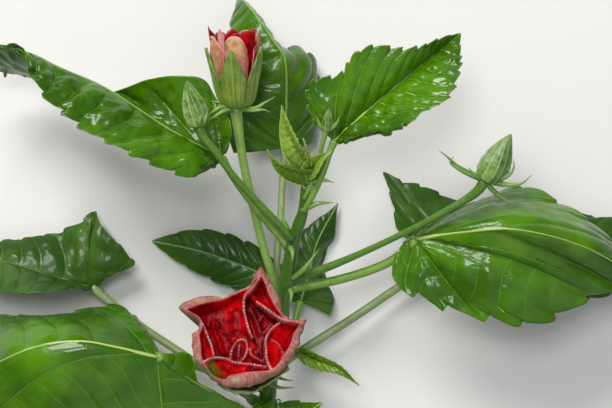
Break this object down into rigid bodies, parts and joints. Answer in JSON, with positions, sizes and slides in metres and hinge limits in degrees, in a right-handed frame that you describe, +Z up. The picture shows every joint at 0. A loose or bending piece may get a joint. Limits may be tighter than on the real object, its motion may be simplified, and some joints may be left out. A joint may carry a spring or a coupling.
{
  "type": "hibiscus flowering shoot",
  "caption": "Cut flowering shoot of a hibiscus, lying down: a green stem with stalked toothed leaves, closed buds, an opening bud and a red bloom that is unfurling.",
  "frame": {"origin": "centre of the bounding box in plan, on the floor that the shoot lies on", "axes": "+X to the shoot's right and +Y up the shoot towards its tip, as it is looked down on. +Z up from the floor"},
  "size_m": [0.2882, 0.1962, 0.0878],
  "materials": {
    "green_stem": "smooth green bark, slightly waxy",
    "leaf_stalk": "pale green, slightly waxy",
    "leaf_blade": "glossy, quilted between pale veins",
    "young_leaf": "satin, light green",
    "green_sepal": "matt with pale ribs and short hairs",
    "red_petal": "deep red, glossy inside, pale and downy outside"
  },
  "bodies": {
    "root": {"main_stem": "green_stem", "flower_stalk_top": "green_stem", "flower_stalk_left": "green_stem", "flower_stalk_right": "green_stem", "flower_stalk_small": "green_stem", "flower_stalk_bloom": "green_stem", "bud_top_petals": "red_petal", "bud_top_calyx": "green_sepal", "bloom_petals": "red_petal", "bloom_calyx": "green_sepal", "bloom_heart": "red_petal", "bud_left": "green_sepal", "bud_right": "green_sepal", "bud_small": "green_sepal", "shoot_tip": "young_leaf", "leaf_stalk_upper_left": "leaf_stalk", "leaf_upper_left": "leaf_blade", "leaf_stalk_upper_right": "leaf_stalk", "leaf_upper_right": "leaf_blade", "leaf_stalk_right": "leaf_stalk", "leaf_right": "leaf_blade", "leaf_stalk_left": "leaf_stalk", "leaf_left": "leaf_blade", "leaf_stalk_far_left": "leaf_stalk", "leaf_far_left": "leaf_blade", "leaf_stalk_back_left": "leaf_stalk", "leaf_back_left": "leaf_blade", "leaf_stalk_back_middle": "leaf_stalk", "leaf_back_middle": "leaf_blade", "leaf_stalk_back_top": "leaf_stalk", "leaf_back_top": "leaf_blade", "leaf_stalk_back_right": "leaf_stalk", "leaf_back_right": "leaf_blade", "leaf_stalk_bottom": "leaf_stalk", "leaf_bottom": "leaf_blade", "leaf_young": "young_leaf"}
  },
  "joints": []
}
